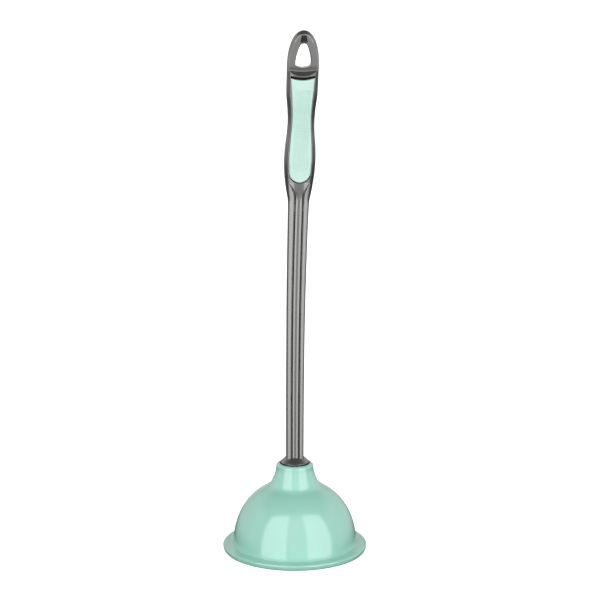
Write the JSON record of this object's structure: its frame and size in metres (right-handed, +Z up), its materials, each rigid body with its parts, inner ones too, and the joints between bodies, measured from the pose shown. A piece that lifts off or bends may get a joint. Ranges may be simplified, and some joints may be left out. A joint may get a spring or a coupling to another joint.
{
  "type": "toilet plunger",
  "caption": "Toilet plunger with a flanged rubber cup, a long fluted plastic handle, soft grip inlays and a hanging eye.",
  "frame": {"origin": "centre of the cup's open mouth, on the surface that the plunger stands on", "axes": "+Z up along the cup's axis towards the handle's eye; the grip's front inlay faces -Y and the handle bows towards +X"},
  "size_m": [0.14, 0.14, 0.5087],
  "materials": {
    "grey_plastic": "semi-gloss moulded grey",
    "pale_mint_inlay": "satin pale mint, fine pips",
    "mint_rubber": "glossy mint",
    "zinc_steel": "zinc plated"
  },
  "bodies": {
    "cup": {"rubber_cup": "mint_rubber"},
    "handle": {"handle": "grey_plastic", "grip_pad_front": "pale_mint_inlay", "grip_pad_back": "pale_mint_inlay", "retaining_washer": "zinc_steel", "retaining_screw": "zinc_steel"}
  },
  "joints": [
    {"name": "plunge_stroke", "type": "slide", "parent": "cup", "child": "handle", "axis": [0, 0, 1], "range_m": [-0.03, 0], "stiffness_N_per_m": 2000, "springref_m": 0.001, "deforming": ["rubber_cup"]}
  ]
}
